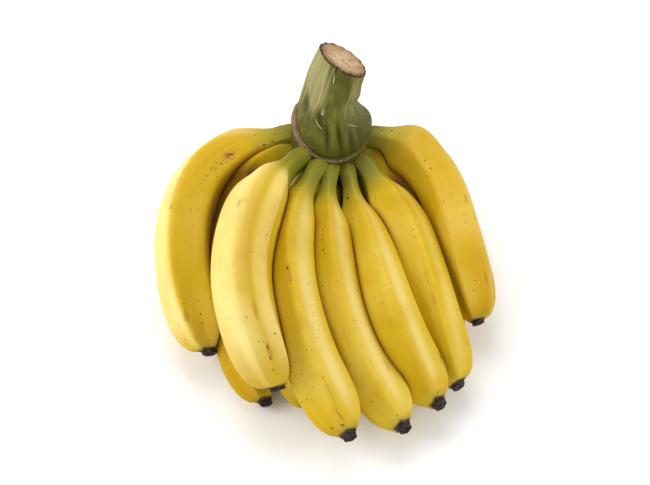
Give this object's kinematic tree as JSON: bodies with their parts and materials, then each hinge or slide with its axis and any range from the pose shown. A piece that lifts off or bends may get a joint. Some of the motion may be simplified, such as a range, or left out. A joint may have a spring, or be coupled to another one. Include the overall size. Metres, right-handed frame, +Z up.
{
  "type": "banana hand",
  "caption": "Whole hand of ripe yellow bananas, an outer and an inner row of curved fingers joined at a green crown, with a short cut stalk.",
  "frame": {"origin": "centre of the stalk's trimmed flat foot, on the table that the hand lies on", "axes": "+Z up, -Y from the crown towards the fingers' tips, +X to the right seen from the tips' side and above"},
  "size_m": [0.2246, 0.2718, 0.1169],
  "materials": {
    "peel_outer": "waxy satin peel, golden yellow with soft ridges, brown specks and scuffs, olive green at the pedicel and a black blossom end",
    "peel_inner": "waxy satin peel, deeper yellow, olive green at the pedicel and a black blossom end",
    "crown_stalk": "ribbed green stalk with olive shading, pinkish brown ring scar and a tan fibrous cut face"
  },
  "bodies": {
    "root": {"stalk": "crown_stalk", "finger_outer_1": "peel_outer", "finger_outer_2": "peel_outer", "finger_outer_3": "peel_outer", "finger_outer_4": "peel_outer", "finger_outer_5": "peel_outer", "finger_outer_6": "peel_outer", "finger_outer_7": "peel_outer", "finger_inner_1": "peel_inner", "finger_inner_2": "peel_inner", "finger_inner_3": "peel_inner", "finger_inner_4": "peel_inner", "finger_inner_5": "peel_inner"}
  },
  "joints": []
}
